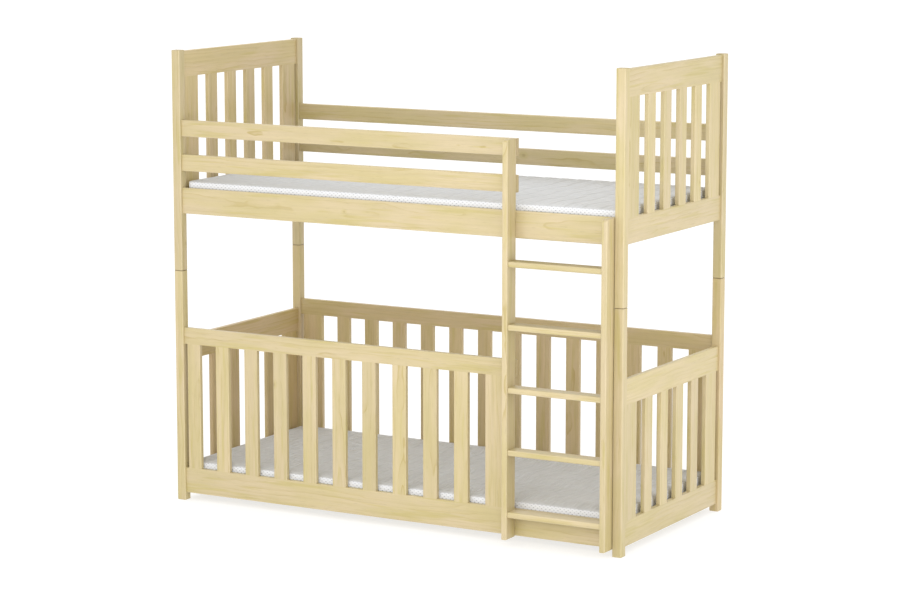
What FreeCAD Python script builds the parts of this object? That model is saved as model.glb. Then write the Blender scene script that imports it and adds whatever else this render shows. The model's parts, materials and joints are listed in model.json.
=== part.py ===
import FreeCAD, Part
import math
import os
import re
import Sketcher

# Bunk bed with a front ladder, a barrier round the lower bed and guard rails round the upper one.
# Millimetres, +X to the right along the bed, +Y from the front to the back, +Z up.
# The origin is on the floor under the middle of the whole bed, ladder included.

os.makedirs("parts", exist_ok=True)
doc = FreeCAD.newDocument("BunkBed")
sheet = doc.addObject("Spreadsheet::Sheet", "Sizes")

# alias, value or formula, what it is
SIZES = [
    ("bed_length", 1880, "over the posts, along X"),
    ("bed_depth", 856, "over the posts, along Y"),
    ("bed_height", 1710, "floor to post tops"),
    ("post_size", 36, "square section of the posts"),
    ("post_radius", 4, "rounding of the posts' long edges"),
    ("post_end_radius", 2.5, "rounding round a post's ends"),
    ("post_above_crest", 4, "post tops stand above the upper end panels"),
    ("board_thickness", 18, "rails and slats"),
    ("edge_radius", 3.5, "rounding of rails' and slats' long edges"),
    ("floor_gap", 28.5, "floor to the lowest rails"),
    ("side_rail_height", 97, "wide rails that carry the mattress supports"),
    ("narrow_rail_height", 62, "guard rails and the top rails of the low panels"),
    ("end_rail_height", 92, "end panels' rails"),
    ("crest_rail_height", 97, "top rail of the upper end panels"),
    ("low_end_top", 627, "top of the lower end panels"),
    ("low_panel_top", 665, "top of the front barrier and the lower back panel"),
    ("upper_frame_height", 611.5, "underside of the upper side rails to the post tops"),
    ("guard_gap_low", 63.5, "side rail to the lower guard rail"),
    ("guard_gap_high", 67, "lower to upper guard rail"),
    ("slat_width", 58, "panel slats"),
    ("slot_width", 70.5, "clear gap between panel slats"),
    ("slat_to_post", 11, "gap between a panel's outer board and the post"),
    ("ledger_depth", 25, "mattress support strip, out from the rail"),
    ("ledger_height", 20, "mattress support strip"),
    ("ledger_end_gap", 1, "strip end to post"),
    ("ledger_radius", 2, "rounding of the strips' long edges"),
    ("bed_slat_width", 70, "slats under the mattress"),
    ("bed_slat_thickness", 16, "slats under the mattress"),
    ("bed_slat_gap_max", 75, "largest gap between slats under the mattress"),
    ("bed_slat_end_gap", 3, "first slat to the post"),
    ("bed_slat_side_gap", 2, "slat end to side rail"),
    ("mattress_height", 85, "both mattresses"),
    ("mattress_side_gap", 3, "mattress to side rail"),
    ("mattress_end_gap", 4, "mattress to post"),
    ("mattress_lift", 0.3, "mattress above its slats"),
    ("mattress_corner", 3.5, "rounding of the mattress's upright corners"),
    ("ladder_width", 410, "over the stiles"),
    ("ladder_post_gap", 1, "right stile to the right post"),
    ("ladder_floor_gap", 25, "floor to the stiles"),
    ("stile_thickness", 22, "ladder stile, along X"),
    ("stile_depth", 65, "ladder stile, along Y"),
    ("stile_radius", 4, "rounding of the stiles' edges"),
    ("stile_top_radius", 13, "rounded front corner at a stile's top"),
    ("rung_count", 5, "ladder rungs"),
    ("rung_thickness", 21, "ladder rungs"),
    ("rung_setback", 5, "rung front behind the stile front"),
    ("rung_radius", 6, "rounding of the rungs' long edges"),
    ("top_rung_drop", 75, "upper side rail's underside to the top rung's top"),
    ("dowel_radius", 4, "beech dowels"),
    ("slat_dowel_half", 14, "half length of the dowels in slat ends"),
    ("rail_dowel_depth", 20, "dowel's depth in a rail end"),
    ("dowel_spread", 0.3, "dowels above and below a rail's middle, as a share of its height"),
    ("rung_dowel_in_rung", 28, "dowel's depth in a rung end"),
    ("rung_dowel_spread", 0.25, "dowels before and behind a rung's middle, as a share of its depth"),
    ("stud_radius", 3, "threaded studs in the posts"),
    ("stud_in_rail", 50, "stud's depth in a rail end"),
    ("nut_radius", 5, "cross nuts on the studs"),
    ("nut_length", 14, "cross nuts on the studs"),
    ("nut_inset", 40, "rail end to the cross nut"),
    ("pin_radius", 5, "steel pins between lower and upper posts"),
    ("pin_half", 35, "half length of those pins"),
    ("screw_radius", 2, "screws of the supports and slats"),
    ("screw_head_radius", 4, "screws of the supports and slats"),
    ("screw_head_height", 2.5, "countersunk head"),
    ("slat_screw_length", 32, "slat to support strip"),
    ("ledger_screw_length", 38, "support strip to rail"),
    ("ledger_screw_count", 6, "in each support strip"),
    ("stile_screw_radius", 2.5, "screws from the rails into the stiles"),
    ("stile_screw_head", 5, "screws from the rails into the stiles"),
    ("stile_screw_length", 50, "screws from the rails into the stiles"),
    ("stile_screw_spread", 0.15, "screws above and below a rail's middle, as a share of its height"),
    # worked out from the sizes above
    ("set_back", "=(post_size - board_thickness) / 2", "board face behind the post face"),
    ("ladder_reach", "=stile_depth - set_back", "ladder in front of the posts"),
    ("front_y", "=(ladder_reach - bed_depth) / 2", "front face of the posts"),
    ("back_y", "=(ladder_reach + bed_depth) / 2", "back face of the posts"),
    ("right_x", "=bed_length / 2", "outer face of the right posts"),
    ("post_inner_x", "=right_x - post_size", "inner face of the right posts"),
    ("front_inner_y", "=front_y + post_size", "inner face of the front posts"),
    ("back_inner_y", "=back_y - post_size", "inner face of the back posts"),
    ("clear_length", "=bed_length - 2 * post_size", "between posts along X"),
    ("clear_depth", "=bed_depth - 2 * post_size", "between posts along Y"),
    ("front_board_y", "=front_y + set_back", "front face of the front boards"),
    ("back_board_y", "=back_y - set_back - board_thickness", "front face of the back boards"),
    ("left_board_x", "=set_back - right_x", "outer face of the left boards"),
    ("right_board_x", "=right_x - set_back - board_thickness", "inner face of the right boards"),
    ("nest_front_y", "=front_board_y + board_thickness", "mattress space, front"),
    ("nest_depth", "=back_board_y - nest_front_y", "mattress space, along Y"),
    ("upper_rail_z", "=bed_height - upper_frame_height", "underside of the upper side rails"),
    ("joint_z", "=(low_panel_top + upper_rail_z) / 2", "where upper posts stand on lower ones"),
    ("side_rail_top", "=floor_gap + side_rail_height", "top of the lower side rails"),
    ("low_end_rail_top", "=floor_gap + end_rail_height", "top of the lower end panels' bottom rails"),
    ("low_end_top_rail_z", "=low_end_top - end_rail_height", "lower end panels' top rails"),
    ("low_top_rail_z", "=low_panel_top - narrow_rail_height", "barrier's and back panel's top rails"),
    ("upper_rail_top", "=upper_rail_z + side_rail_height", "top of the upper side rails"),
    ("upper_end_rail_top", "=upper_rail_z + end_rail_height", "upper end panels' bottom rails"),
    ("crest_z", "=bed_height - post_above_crest - crest_rail_height", "upper end panels' top rails"),
    ("guard_low_z", "=upper_rail_top + guard_gap_low", "lower guard rails"),
    ("guard_high_z", "=guard_low_z + narrow_rail_height + guard_gap_high", "upper guard rails"),
    ("guard_top", "=guard_high_z + narrow_rail_height", "top of the guard rails"),
    ("ladder_right_x", "=post_inner_x - ladder_post_gap", "right face of the right stile"),
    ("ladder_left_x", "=ladder_right_x - ladder_width", "left face of the left stile"),
    ("free_end_x", "=ladder_left_x + stile_thickness", "where guard rails and barrier end"),
    ("rung_length", "=ladder_width - 2 * stile_thickness", "between the stiles"),
    ("rung_depth", "=stile_depth - rung_setback", "along Y"),
    ("stile_front_y", "=front_board_y - stile_depth", "front of the stiles"),
    ("rung_pitch", "=(upper_rail_z - top_rung_drop - side_rail_top) / (rung_count - 1)", "rung to rung"),
    ("slat_pitch", "=slat_width + slot_width", "slat to slat"),
    ("panel_length", "=clear_length - 2 * slat_to_post", "back panel over its outer boards"),
    ("panel_depth", "=clear_depth - 2 * slat_to_post", "end panels over their outer boards"),
    ("barrier_length", "=free_end_x + post_inner_x - 2 * slat_to_post", "barrier over its boards"),
    ("back_count", "=floor((panel_length + slot_width) / slat_pitch)", "boards in the back panel"),
    ("end_count", "=floor((panel_depth + slot_width) / slat_pitch)", "boards in an end panel"),
    ("barrier_count", "=floor((barrier_length + slot_width) / slat_pitch)", "boards in the barrier"),
    ("bed_slat_span", "=clear_length - 2 * bed_slat_end_gap", "over the slats under a mattress"),
    ("bed_slat_count",
     "=ceil((bed_slat_span + bed_slat_gap_max) / (bed_slat_width + bed_slat_gap_max))",
     "slats under a mattress"),
    ("bed_slat_pitch", "=(bed_slat_span - bed_slat_width) / (bed_slat_count - 1)", "slat to slat"),
    ("bed_slat_length", "=nest_depth - 2 * bed_slat_side_gap", "along Y"),
    ("post_dowel_depth", "=post_size / 3", "dowel's depth in a post"),
    ("stud_in_post", "=post_size * 4 / 9", "stud's depth in a post"),
    ("rung_dowel_in_stile", "=stile_thickness * 0.6", "dowel's depth in a stile"),
]

for row, (alias, value, note) in enumerate(SIZES, start=1):
    sheet.set("A%d" % row, alias.replace("_", " "))
    sheet.set("B%d" % row, str(value))
    sheet.set("C%d" % row, note)
    sheet.setAlias("B%d" % row, alias)
doc.recompute()

ALIASES = {alias for alias, value, note in SIZES}
PLANES = {"x": "YZ_Plane", "y": "XZ_Plane", "z": "XY_Plane"}
TURNS = {
    "x": FreeCAD.Rotation(FreeCAD.Vector(0, 1, 0), 90),
    "y": FreeCAD.Rotation(FreeCAD.Vector(1, 0, 0), -90),
    "z": FreeCAD.Rotation(),
}
nodes = {}
holes = {}


def count(alias):
    return int(round(sheet.get(alias)))


def from_sheet(formula):
    """Writes a formula of plain alias names as an expression that reads the sheet."""
    return re.sub(r"[a-z_]+", lambda word: "Sizes." * (word.group() in ALIASES) + word.group(), formula)


def bind(target, path, formula):
    target.setExpression(path, from_sheet(formula))


def place(target, corner):
    for axis, formula in zip("xyz", corner):
        bind(target, "Placement.Base." + axis, formula)


def origin_plane(body, axis):
    return next(item for item in body.Origin.OriginFeatures if item.Role == PLANES[axis])


def end_faces(shape, axis):
    """Names of the two flat faces that close a shape along an axis."""
    index = "xyz".index(axis)
    middles = [face.CenterOfMass[index] for face in shape.Faces]
    ends = (min(middles), max(middles))
    return ["Face%d" % number for number, middle in enumerate(middles, start=1)
            if min(abs(middle - end) for end in ends) < 1e-6]


def rounded_section(body, axis, wide, tall, radius, square):
    """A sketch of a rectangle, its low corner on the body's origin and its corners rounded.
    square is "low" or "high" for two square corners there, or None for none."""
    sketch = body.newObject("Sketcher::SketchObject", body.Name + "_section")
    sketch.AttachmentSupport = [(origin_plane(body, axis), "")]
    sketch.MapMode = "FlatFace"
    w = sketch.evalExpression(from_sheet(wide))
    t = sketch.evalExpression(from_sheet(tall))
    r = sketch.evalExpression(from_sheet(radius))
    low = 0 if square == "low" else r
    high = 0 if square == "high" else r
    sides = [((low, 0), (w - low, 0)), ((w, low), (w, t - high)),
             ((w - high, t), (high, t)), ((0, t - high), (0, low))]
    corners = [(low, w - r, r, -90), (high, w - r, t - r, 0), (high, r, t - r, 90), (low, r, r, 180)]
    for start, end in sides:
        sketch.addGeometry(Part.LineSegment(FreeCAD.Vector(*start, 0), FreeCAD.Vector(*end, 0)))
    arcs = []
    for side, (rounding, x, y, turn) in enumerate(corners):
        following = (side + 1) % len(sides)
        if rounding:
            circle = Part.Circle(FreeCAD.Vector(x, y, 0), FreeCAD.Vector(0, 0, 1), r)
            arc = sketch.addGeometry(Part.ArcOfCircle(circle, math.radians(turn), math.radians(turn + 90)))
            sketch.addConstraint(Sketcher.Constraint("Tangent", side, 2, arc, 1))
            sketch.addConstraint(Sketcher.Constraint("Tangent", arc, 2, following, 1))
            arcs.append(arc)
        else:
            sketch.addConstraint(Sketcher.Constraint("Coincident", side, 2, following, 1))
        sketch.addConstraint(Sketcher.Constraint("Vertical" if side % 2 else "Horizontal", side))
    for arc in arcs[1:]:
        sketch.addConstraint(Sketcher.Constraint("Equal", arcs[0], arc))
    sketch.addConstraint(Sketcher.Constraint("PointOnObject", 0, 1, -1))
    sketch.addConstraint(Sketcher.Constraint("PointOnObject", 3, 1, -2))
    for name, kind, geometry, size, formula in (
            ("wide", "DistanceX", (3, 1, 1, 1), w, wide),
            ("tall", "DistanceY", (0, 1, 2, 1), t, tall),
            ("rounding", "Radius", (arcs[0],), r, radius)):
        number = sketch.addConstraint(Sketcher.Constraint(kind, *geometry, size))
        sketch.renameConstraint(number, name)
        bind(sketch, "Constraints." + name, formula)
    return sketch


def timber(label, corner, size, axis, radius="edge_radius", end_radius=None, square=None, node=True):
    """A length of timber along an axis: low corner, size along X, Y and Z, rounded long edges.
    A rail that slats stand on or hang from is square on that side, so that they meet it flush."""
    body = doc.addObject("PartDesign::Body", label)
    body.Label = label
    section = [size["xyz".index(side)] for side in "xyz" if side != axis]
    sketch = rounded_section(body, axis, section[0], section[1], radius, square)
    pad = body.newObject("PartDesign::Pad", label + "_pad")
    pad.Profile = sketch
    pad.Reversed = axis == "y"
    bind(pad, "Length", size["xyz".index(axis)])
    if end_radius:
        doc.recompute()
        rounding = body.newObject("PartDesign::Fillet", label + "_ends")
        rounding.Base = (pad, end_faces(pad.Shape, axis))
        bind(rounding, "Radius", end_radius)
    place(body, corner)
    if node:
        nodes[label] = body
        holes[label] = []
    return body


def rod(label, start, length, axis, radius):
    """A round rod along an axis, from the middle of its low end."""
    cylinder = doc.addObject("Part::Cylinder", label)
    cylinder.Placement.Rotation = TURNS[axis]
    bind(cylinder, "Radius", radius)
    bind(cylinder, "Height", length)
    place(cylinder, start)
    return cylinder


def screw(label, tip, length, axis, radius, head_radius, head_first=False):
    """A countersunk screw along an axis. The head is at the high end, or at the low end."""
    index = "xyz".index(axis)
    shank = rod(label + "_shank", tip, length, axis, radius)
    head = doc.addObject("Part::Cone", label + "_head")
    head.Placement.Rotation = TURNS[axis]
    bind(head, "Radius1", head_radius if head_first else radius)
    bind(head, "Radius2", radius if head_first else head_radius)
    bind(head, "Height", "screw_head_height")
    base = list(tip)
    if not head_first:
        base[index] = "%s + %s - screw_head_height" % (tip[index], length)
    place(head, base)
    whole = doc.addObject("Part::Fuse", label)
    whole.Base = shank
    whole.Tool = head
    return whole


def group(label, members, node=True):
    """Separate solids that share one node."""
    compound = doc.addObject("Part::Compound", label)
    compound.Label = label
    compound.Links = members
    if node:
        nodes[label] = compound
        holes[label] = []
    return compound


def drill(names, tools):
    for name in names:
        holes[name].extend(tools)


# Posts: four lower ones, four upper ones standing on them, and the pins between.

SIDES = {"left": "-right_x", "right": "post_inner_x"}
FACES = {"front": "front_y", "back": "back_inner_y"}
MID_POST_X = {"left": "post_size / 2 - right_x", "right": "right_x - post_size / 2"}
MID_POST_Y = {"front": "front_y + post_size / 2", "back": "back_y - post_size / 2"}
pins = []
for face, y in FACES.items():
    for side, x in SIDES.items():
        section = ["post_size", "post_size"]
        lower = "lower_post_%s_%s" % (face, side)
        upper = "upper_post_%s_%s" % (face, side)
        timber(lower, (x, y, "0"), section + ["joint_z"], "z", "post_radius", "post_end_radius")
        timber(upper, (x, y, "joint_z"), section + ["bed_height - joint_z"], "z",
               "post_radius", "post_end_radius")
        pin = rod("pin_%s_%s" % (face, side), (MID_POST_X[side], MID_POST_Y[face], "joint_z - pin_half"),
                  "pin_half * 2", "z", "pin_radius")
        pins.append(pin)
        drill([lower, upper], [pin])
group("post_pins", pins)


# Rails along the bed, between posts or from a left post to the ladder's left stile.

dowels = []
studs = []
nuts = []


def end_dowels(rail, post, axis, joint, low_side, middle, z, height):
    """Two dowels that hold a rail's end to a post. joint is the face where they meet."""
    start = "%s - %s" % (joint, "post_dowel_depth" if low_side else "rail_dowel_depth")
    pair = []
    for level in (1, -1):
        level_z = "%s + %s * ( 0.5 + %d * dowel_spread )" % (z, height, level)
        spot = (start, middle, level_z) if axis == "x" else (middle, start, level_z)
        name = "%s_dowel_%s_%s" % (rail, post.split("post_")[1], "high" if level > 0 else "low")
        pair.append(rod(name, spot, "post_dowel_depth + rail_dowel_depth", axis, "dowel_radius"))
    dowels.extend(pair)
    drill([rail, post], pair)


def end_stud(rail, post, joint, low_side, y, z, height):
    """A stud in a post that a cross nut, let in from the rail's underside, pulls tight."""
    middle = "%s + %s / 2" % (z, height)
    reach = "stud_in_post" if low_side else "stud_in_rail"
    stud = rod("%s_stud_%s" % (rail, post.split("post_")[1]), ("%s - %s" % (joint, reach), y, middle),
               "stud_in_post + stud_in_rail", "x", "stud_radius")
    nut_x = "%s %s nut_inset" % (joint, "+" if low_side else "-")
    blank = rod("%s_nut_blank_%s" % (rail, post.split("post_")[1]), (nut_x, y, middle + " - nut_length / 2"),
                "nut_length", "z", "nut_radius")
    nut = doc.addObject("Part::Cut", "%s_nut_%s" % (rail, post.split("post_")[1]))
    nut.Base = blank
    nut.Tool = stud
    bore = rod("%s_nut_bore_%s" % (rail, post.split("post_")[1]), (nut_x, y, z),
               "%s / 2 + nut_length / 2" % height, "z", "nut_radius")
    studs.append(stud)
    nuts.append(nut)
    drill([post], [stud])
    drill([rail], [stud, bore])


def long_rail(label, face, level, z, height, square=None, free_end=False):
    """A rail along X. With a free end it stops at the ladder's left stile, not at a post."""
    y = "front_board_y" if face == "front" else "back_board_y"
    length = "post_inner_x + free_end_x" if free_end else "clear_length"
    timber(label, ("-post_inner_x", y, z), (length, "board_thickness", height), "x", square=square)
    for side in ("left",) if free_end else ("left", "right"):
        post = "%s_post_%s_%s" % (level, face, side)
        joint = "-post_inner_x" if side == "left" else "post_inner_x"
        end_dowels(label, post, "x", joint, side == "left", MID_POST_Y[face], z, height)
        end_stud(label, post, joint, side == "left", MID_POST_Y[face], z, height)


long_rail("lower_front_rail", "front", "lower", "floor_gap", "side_rail_height", "high")
long_rail("barrier_top_rail", "front", "lower", "low_top_rail_z", "narrow_rail_height", "low", True)
long_rail("lower_back_rail", "back", "lower", "floor_gap", "side_rail_height", "high")
long_rail("lower_back_top_rail", "back", "lower", "low_top_rail_z", "narrow_rail_height", "low")
long_rail("upper_front_rail", "front", "upper", "upper_rail_z", "side_rail_height")
long_rail("upper_back_rail", "back", "upper", "upper_rail_z", "side_rail_height")
long_rail("front_guard_rail_low", "front", "upper", "guard_low_z", "narrow_rail_height", free_end=True)
long_rail("front_guard_rail_high", "front", "upper", "guard_high_z", "narrow_rail_height", free_end=True)
long_rail("back_guard_rail_low", "back", "upper", "guard_low_z", "narrow_rail_height")
long_rail("back_guard_rail_high", "back", "upper", "guard_high_z", "narrow_rail_height")


# Slatted panels: regular slats, with wider outer boards that use up what the pitch leaves over.

slat_dowels = []


def slat_row(label, axis, across, begin, length, number, bottom, top, rails, even):
    """A row of boards along X or Y. even spreads the rest over both outer boards."""
    boards = []
    pegs = []
    rest = "( %s - %d * slat_width - %d * slot_width )" % (length, number, number - 1)
    lead = rest + " / 2" if even else "0"
    for index in range(number):
        start = "%s + %s + %d * slat_pitch" % (begin, lead, index)
        middle = start + " + slat_width / 2"
        width = "slat_width"
        if index == 0:
            start = begin
            width = "slat_width + " + lead
        if index == number - 1:
            width = "slat_width + " + (rest + " / 2" if even else rest)
        name = "%s_%d" % (label, index + 1)
        corner = (start, across, bottom) if axis == "x" else (across, start, bottom)
        size = (width, "board_thickness", "%s - %s" % (top, bottom))
        if axis == "y":
            size = (size[1], size[0], size[2])
        boards.append(timber(name, corner, size, "z", node=False))
        mid_across = across + " + board_thickness / 2"
        for end, z in (("foot", bottom), ("head", top)):
            spot = (middle, mid_across) if axis == "x" else (mid_across, middle)
            peg = rod("%s_%s_peg" % (name, end), (spot[0], spot[1], z + " - slat_dowel_half"),
                      "slat_dowel_half * 2", "z", "dowel_radius")
            pegs.append(peg)
            drill([rails[0] if end == "foot" else rails[1]], [peg])
    slat_dowels.extend(pegs)
    group(label, boards)
    drill([label], pegs)


slat_row("barrier_slats", "x", "front_board_y", "slat_to_post - post_inner_x", "barrier_length",
         count("barrier_count"), "side_rail_top", "low_top_rail_z",
         ("lower_front_rail", "barrier_top_rail"), False)
slat_row("lower_back_slats", "x", "back_board_y", "slat_to_post - post_inner_x", "panel_length",
         count("back_count"), "side_rail_top", "low_top_rail_z",
         ("lower_back_rail", "lower_back_top_rail"), True)

END_LEVELS = {
    "lower": ("floor_gap", "low_end_rail_top", "low_end_top_rail_z", "end_rail_height"),
    "upper": ("upper_rail_z", "upper_end_rail_top", "crest_z", "crest_rail_height"),
}
for level, (bottom_z, slat_bottom, slat_top, top_height) in END_LEVELS.items():
    for side, x in (("left", "left_board_x"), ("right", "right_board_x")):
        name = "%s_%s_end" % (level, side)
        for rail, z, height, square in (("_bottom_rail", bottom_z, "end_rail_height", "high"),
                                        ("_top_rail", slat_top, top_height, "low")):
            timber(name + rail, (x, "front_inner_y", z), ("board_thickness", "clear_depth", height), "y",
                   square=square)
            for face, joint in (("front", "front_inner_y"), ("back", "back_inner_y")):
                post = "%s_post_%s_%s" % (level, face, side)
                end_dowels(name + rail, post, "y", joint, face == "front", MID_POST_X[side], z, height)
        slat_row(name + "_slats", "y", x, "front_inner_y + slat_to_post", "panel_depth",
                 count("end_count"), slat_bottom, slat_top,
                 (name + "_bottom_rail", name + "_top_rail"), True)


# Each bed's support: a strip along both side rails, with slats screwed across them.
# The strips' own screws are midway between slats, clear of the slats' screws.

bed_slat_gaps = count("bed_slat_count") - 1
ledger_screws = []
bed_slat_screws = []
for bed, z in (("lower", "floor_gap"), ("upper", "upper_rail_z")):
    for face in ("front", "back"):
        ledger = "%s_%s_ledger" % (bed, face)
        y = "nest_front_y" if face == "front" else "back_board_y - ledger_depth"
        timber(ledger, ("ledger_end_gap - post_inner_x", y, z),
               ("clear_length - 2 * ledger_end_gap", "ledger_depth", "ledger_height"), "x", "ledger_radius")
        for index in range(count("ledger_screw_count")):
            gap = int((index + 0.5) * bed_slat_gaps / count("ledger_screw_count"))
            first_slat = "bed_slat_end_gap - post_inner_x + bed_slat_width / 2"
            x = "%s + ( %d + 0.5 ) * bed_slat_pitch" % (first_slat, gap)
            tip = "nest_front_y + ledger_depth - ledger_screw_length" if face == "front" else y
            peg = screw("%s_screw_%d" % (ledger, index + 1), (x, tip, z + " + ledger_height / 2"),
                        "ledger_screw_length", "y", "screw_radius", "screw_head_radius", face == "back")
            ledger_screws.append(peg)
            drill([ledger, "%s_%s_rail" % (bed, face)], [peg])
    boards = []
    pegs = []
    slat_z = z + " + ledger_height"
    for index in range(count("bed_slat_count")):
        x = "bed_slat_end_gap - post_inner_x + %d * bed_slat_pitch" % index
        boards.append(timber("%s_bed_slat_%d" % (bed, index + 1),
                             (x, "nest_front_y + bed_slat_side_gap", slat_z),
                             ("bed_slat_width", "bed_slat_length", "bed_slat_thickness"), "y", node=False))
        for face, y in (("front", "nest_front_y + ledger_depth / 2"),
                        ("back", "back_board_y - ledger_depth / 2")):
            peg = screw("%s_slat_screw_%s_%d" % (bed, face, index + 1),
                        (x + " + bed_slat_width / 2", y,
                         slat_z + " + bed_slat_thickness - slat_screw_length"),
                        "slat_screw_length", "z", "screw_radius", "screw_head_radius")
            pegs.append(peg)
            drill(["%s_%s_ledger" % (bed, face)], [peg])
    group(bed + "_bed_slats", boards)
    drill([bed + "_bed_slats"], pegs)
    bed_slat_screws.extend(pegs)
    timber(bed + "_mattress",
           ("mattress_end_gap - post_inner_x", "nest_front_y + mattress_side_gap",
            slat_z + " + bed_slat_thickness + mattress_lift"),
           ("clear_length - 2 * mattress_end_gap", "nest_depth - 2 * mattress_side_gap",
            "mattress_height - mattress_lift"), "z", "mattress_corner")


# Ladder: two stiles in front of the rails, screwed from behind, and rungs dowelled between them.

def stile(label, x, top):
    """A plank on edge with a rounded top front corner and rounded edges."""
    body = doc.addObject("PartDesign::Body", label)
    body.Label = label
    sketch = body.newObject("Sketcher::SketchObject", label + "_outline")
    sketch.AttachmentSupport = [(origin_plane(body, "x"), "")]
    sketch.MapMode = "FlatFace"
    deep = sketch.evalExpression(from_sheet("stile_depth"))
    tall = sketch.evalExpression(from_sheet(top + " - ladder_floor_gap"))
    round_top = sketch.evalExpression(from_sheet("stile_top_radius"))
    points = [(0, tall - round_top), (0, 0), (deep, 0), (deep, tall), (round_top, tall)]
    for start, end in zip(points, points[1:]):
        sketch.addGeometry(Part.LineSegment(FreeCAD.Vector(*start, 0), FreeCAD.Vector(*end, 0)))
    circle = Part.Circle(FreeCAD.Vector(round_top, tall - round_top, 0), FreeCAD.Vector(0, 0, 1), round_top)
    sketch.addGeometry(Part.ArcOfCircle(circle, math.pi / 2, math.pi))
    for line in range(3):
        sketch.addConstraint(Sketcher.Constraint("Coincident", line, 2, line + 1, 1))
    sketch.addConstraint(Sketcher.Constraint("Tangent", 3, 2, 4, 1))
    sketch.addConstraint(Sketcher.Constraint("Tangent", 4, 2, 0, 1))
    for line in range(4):
        sketch.addConstraint(Sketcher.Constraint("Horizontal" if line % 2 else "Vertical", line))
    sketch.addConstraint(Sketcher.Constraint("Coincident", 0, 2, -1, 1))
    for name, kind, geometry, size, formula in (
            ("deep", "DistanceX", (1, 1, 1, 2), deep, "stile_depth"),
            ("tall", "DistanceY", (2, 1, 2, 2), tall, top + " - ladder_floor_gap"),
            ("rounding", "Radius", (4,), round_top, "stile_top_radius")):
        number = sketch.addConstraint(Sketcher.Constraint(kind, *geometry, size))
        sketch.renameConstraint(number, name)
        bind(sketch, "Constraints." + name, formula)
    pad = body.newObject("PartDesign::Pad", label + "_pad")
    pad.Profile = sketch
    bind(pad, "Length", "stile_thickness")
    doc.recompute()
    rounding = body.newObject("PartDesign::Fillet", label + "_edges")
    rounding.Base = (pad, end_faces(pad.Shape, "x"))
    bind(rounding, "Radius", "stile_radius")
    place(body, (x, "stile_front_y", "ladder_floor_gap"))
    nodes[label] = body
    holes[label] = []


stile("ladder_stile_left", "ladder_left_x", "guard_top")
stile("ladder_stile_right", "ladder_right_x - stile_thickness", "upper_rail_top")

rung_dowels = []
for index in range(count("rung_count")):
    name = "rung_%d" % (index + 1)
    z = "side_rail_top + %d * rung_pitch - rung_thickness" % index
    y = "stile_front_y + rung_setback"
    timber(name, ("free_end_x", y, z), ("rung_length", "rung_depth", "rung_thickness"), "x", "rung_radius")
    for side, x in (("left", "free_end_x - rung_dowel_in_stile"),
                    ("right", "free_end_x + rung_length - rung_dowel_in_rung")):
        for spot, way in (("front", -1), ("back", 1)):
            dowel_y = "%s + rung_depth * ( 0.5 + %d * rung_dowel_spread )" % (y, way)
            peg = rod("%s_dowel_%s_%s" % (name, side, spot), (x, dowel_y, z + " + rung_thickness / 2"),
                      "rung_dowel_in_stile + rung_dowel_in_rung", "x", "dowel_radius")
            rung_dowels.append(peg)
            drill([name, "ladder_stile_" + side], [peg])

# levels of the screws in a rail: above and below its middle, or in the middle
PAIR = (-1, 1)
SINGLE = (0,)
STILE_FIXINGS = [
    ("left", "lower_front_rail", "floor_gap", "side_rail_height", PAIR),
    ("left", "barrier_top_rail", "low_top_rail_z", "narrow_rail_height", SINGLE),
    ("left", "upper_front_rail", "upper_rail_z", "side_rail_height", PAIR),
    ("left", "front_guard_rail_low", "guard_low_z", "narrow_rail_height", SINGLE),
    ("left", "front_guard_rail_high", "guard_high_z", "narrow_rail_height", SINGLE),
    ("right", "lower_front_rail", "floor_gap", "side_rail_height", PAIR),
    ("right", "upper_front_rail", "upper_rail_z", "side_rail_height", PAIR),
]
ladder_screws = []
for side, rail, z, height, levels in STILE_FIXINGS:
    x = "ladder_left_x + stile_thickness / 2"
    if side == "right":
        x = "ladder_right_x - stile_thickness / 2"
    for number, level in enumerate(levels, start=1):
        screw_z = "%s + %s * ( 0.5 + %d * stile_screw_spread )" % (z, height, level)
        peg = screw("%s_%s_screw_%d" % (rail, side, number),
                    (x, "nest_front_y - stile_screw_length", screw_z),
                    "stile_screw_length", "y", "stile_screw_radius", "stile_screw_head")
        ladder_screws.append(peg)
        drill([rail, "ladder_stile_" + side], [peg])

group("frame_dowels", dowels)
group("frame_studs", studs)
group("cross_nuts", nuts)
group("slat_dowels", slat_dowels)
group("rung_dowels", rung_dowels)
group("ladder_screws", ladder_screws)
group("ledger_screws", ledger_screws)
group("bed_slat_screws", bed_slat_screws)


# Holes for every fastener, then the checks and the files.

for name, tools in holes.items():
    if tools:
        nodes[name].Label = name + "_solid"
        cutters = doc.addObject("Part::Compound", name + "_cutters")
        cutters.Links = tools
        drilled = doc.addObject("Part::Cut", name + "_drilled")
        drilled.Base = nodes[name]
        drilled.Tool = cutters
        drilled.Label = name
        nodes[name] = drilled
doc.recompute()

for item in doc.Objects:
    if "Invalid" in item.State or "Error" in item.State:
        raise RuntimeError("%s did not recompute: %s" % (item.Label, item.State))
for name, node in nodes.items():
    if node.Shape.isNull() or not node.Shape.isValid() or not node.Shape.Solids:
        raise RuntimeError("%s has no valid solid" % name)
for name, node in nodes.items():
    node.Shape.exportStep("parts/%s.step" % name)
print(len(nodes), "nodes,", sum(len(node.Shape.Solids) for node in nodes.values()), "solids")
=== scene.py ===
import json
import math

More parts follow.
